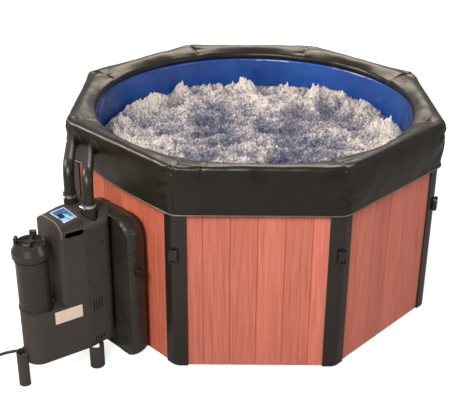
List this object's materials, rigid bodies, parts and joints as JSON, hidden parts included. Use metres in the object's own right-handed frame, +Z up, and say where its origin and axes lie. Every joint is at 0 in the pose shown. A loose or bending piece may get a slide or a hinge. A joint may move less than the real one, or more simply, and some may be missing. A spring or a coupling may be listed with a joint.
{
  "type": "portable inflatable hot tub",
  "caption": "Octagonal portable hot tub with wood-look walls, padded inflated collar, blue liner and a free-standing pump, heater and filter pack joined by pipes over the wall.",
  "frame": {"origin": "centre of the tub's underside, on the floor", "axes": "+Z up; -Y out of the front wall panel; the equipment pack stands off the panel that faces -X and -Y"},
  "size_m": [1.7625, 1.3849, 0.711],
  "materials": {
    "redwood_panel": "satin",
    "black_vinyl": "semi-gloss",
    "black_plastic": "matte",
    "pack_plastic": "fine textured",
    "lid_plastic": "semi-gloss",
    "pipe_plastic": "semi-gloss",
    "blue_vinyl": "glossy",
    "bladder_film": "semi-gloss",
    "pad_foam": "matte",
    "white_plastic": "matte",
    "filter_media": "matte",
    "rubber_seal": "matte",
    "steel": "brushed",
    "screw_steel": "black oxide",
    "panel_blue": "gloss",
    "display_dark": "gloss",
    "key_blue": "gloss",
    "label_cream": "satin",
    "motor_paint": "painted",
    "board_green": "satin",
    "cord_rubber": "matte",
    "pin_brass": "polished",
    "button_red": "gloss",
    "button_black": "gloss"
  },
  "bodies": {
    "tub_and_pack": {"wall_panel_1": "redwood_panel", "corner_post_1": "black_plastic", "wall_panel_2": "redwood_panel", "corner_post_2": "black_plastic", "wall_panel_3": "redwood_panel", "corner_post_3": "black_plastic", "wall_panel_4": "redwood_panel", "corner_post_4": "black_plastic", "wall_panel_5": "redwood_panel", "corner_post_5": "black_plastic", "wall_panel_6": "redwood_panel", "corner_post_6": "black_plastic", "wall_panel_7": "redwood_panel", "corner_post_7": "black_plastic", "wall_panel_8": "redwood_panel", "corner_post_8": "black_plastic", "cover_buckles": "black_plastic", "ground_pad": "pad_foam", "liner": "blue_vinyl", "collar_bladder": "bladder_film", "collar_cover": "black_vinyl", "air_pipe": "pipe_plastic", "water_pipe": "pipe_plastic", "air_ring": "white_plastic", "suction_strainer": "black_plastic", "pipe_flanges": "rubber_seal", "inflation_valves": "black_plastic", "pack_base": "pack_plastic", "pack_legs": "pack_plastic", "pack_housing": "pack_plastic", "case_screws": "screw_steel", "pack_console": "pack_plastic", "control_panel": "panel_blue", "display_lens": "display_dark", "pipe_couplers": "rubber_seal", "hose_clamps": "steel", "filter_canister": "pack_plastic", "rating_plate": "label_cream", "pump_body": "motor_paint", "heater_tube": "steel", "blower_body": "black_plastic", "control_board": "board_green", "air_cushion": "black_vinyl", "cord_gland": "black_plastic", "power_cord": "cord_rubber", "cord_coil": "cord_rubber", "plug_body": "lid_plastic", "plug_pins": "pin_brass"},
    "lid_carrier": {"lid_seal": "rubber_seal"},
    "lid": {"filter_lid": "lid_plastic"},
    "cartridge": {"filter_cartridge": "filter_media"},
    "key_1": {"key_1": "key_blue"},
    "key_2": {"key_2": "key_blue"},
    "key_3": {"key_3": "key_blue"},
    "impeller": {"pump_impeller": "white_plastic"},
    "fan": {"blower_fan": "white_plastic"},
    "collar_cap": {"collar_valve_cap": "black_plastic"},
    "cushion_cap": {"cushion_valve_cap": "black_plastic"},
    "test_button": {"plug_test_button": "button_black"},
    "reset_button": {"plug_reset_button": "button_red"}
  },
  "joints": [
    {"name": "lid_lift", "type": "slide", "parent": "tub_and_pack", "child": "lid_carrier", "axis": [0, 0, 1], "range_m": [0, 0.48]},
    {"name": "lid_turn", "type": "hinge", "parent": "lid_carrier", "child": "lid", "pos_m": [-0.67812, -0.67812, 0.47], "axis": [0, 0, 1], "range_deg": [0, 360]},
    {"name": "cartridge_lift", "type": "slide", "parent": "tub_and_pack", "child": "cartridge", "axis": [0, 0, 1], "range_m": [0, 0.432]},
    {"name": "key_1_press", "type": "slide", "parent": "tub_and_pack", "child": "key_1", "axis": [-0.0862, 0.0862, -0.9925], "range_m": [0, 0.001], "stiffness_N_per_m": 300, "springref_m": -0.001},
    {"name": "key_2_press", "type": "slide", "parent": "tub_and_pack", "child": "key_2", "axis": [-0.0862, 0.0862, -0.9925], "range_m": [0, 0.001], "stiffness_N_per_m": 300, "springref_m": -0.001},
    {"name": "key_3_press", "type": "slide", "parent": "tub_and_pack", "child": "key_3", "axis": [-0.0862, 0.0862, -0.9925], "range_m": [0, 0.001], "stiffness_N_per_m": 300, "springref_m": -0.001},
    {"name": "impeller_spin", "type": "hinge", "parent": "tub_and_pack", "child": "impeller", "pos_m": [-0.53174, -0.53174, 0.148], "axis": [-0.7071, -0.7071, 0], "continuous": true},
    {"name": "fan_spin", "type": "hinge", "parent": "tub_and_pack", "child": "fan", "pos_m": [-0.61377, -0.57134, 0.3], "axis": [0.7071, -0.7071, 0], "continuous": true},
    {"name": "collar_cap_turn", "type": "hinge", "parent": "tub_and_pack", "child": "collar_cap", "pos_m": [0, 0.6434, 0.668], "axis": [0, 1, 0], "range_deg": [0, 360]},
    {"name": "cushion_cap_turn", "type": "hinge", "parent": "tub_and_pack", "child": "cushion_cap", "pos_m": [-0.36451, -0.57665, 0.32], "axis": [0.7071, -0.7071, 0], "range_deg": [0, 360]},
    {"name": "test_button_press", "type": "slide", "parent": "tub_and_pack", "child": "test_button", "axis": [0, 0, -1], "range_m": [0, 0.0015], "stiffness_N_per_m": 300, "springref_m": -0.0015},
    {"name": "reset_button_press", "type": "slide", "parent": "tub_and_pack", "child": "reset_button", "axis": [0, 0, -1], "range_m": [0, 0.0015], "stiffness_N_per_m": 300, "springref_m": -0.0015}
  ],
  "couplings": [
    {"joint": "cartridge_lift", "follows": "lid_lift", "ratio": 0.9}
  ]
}
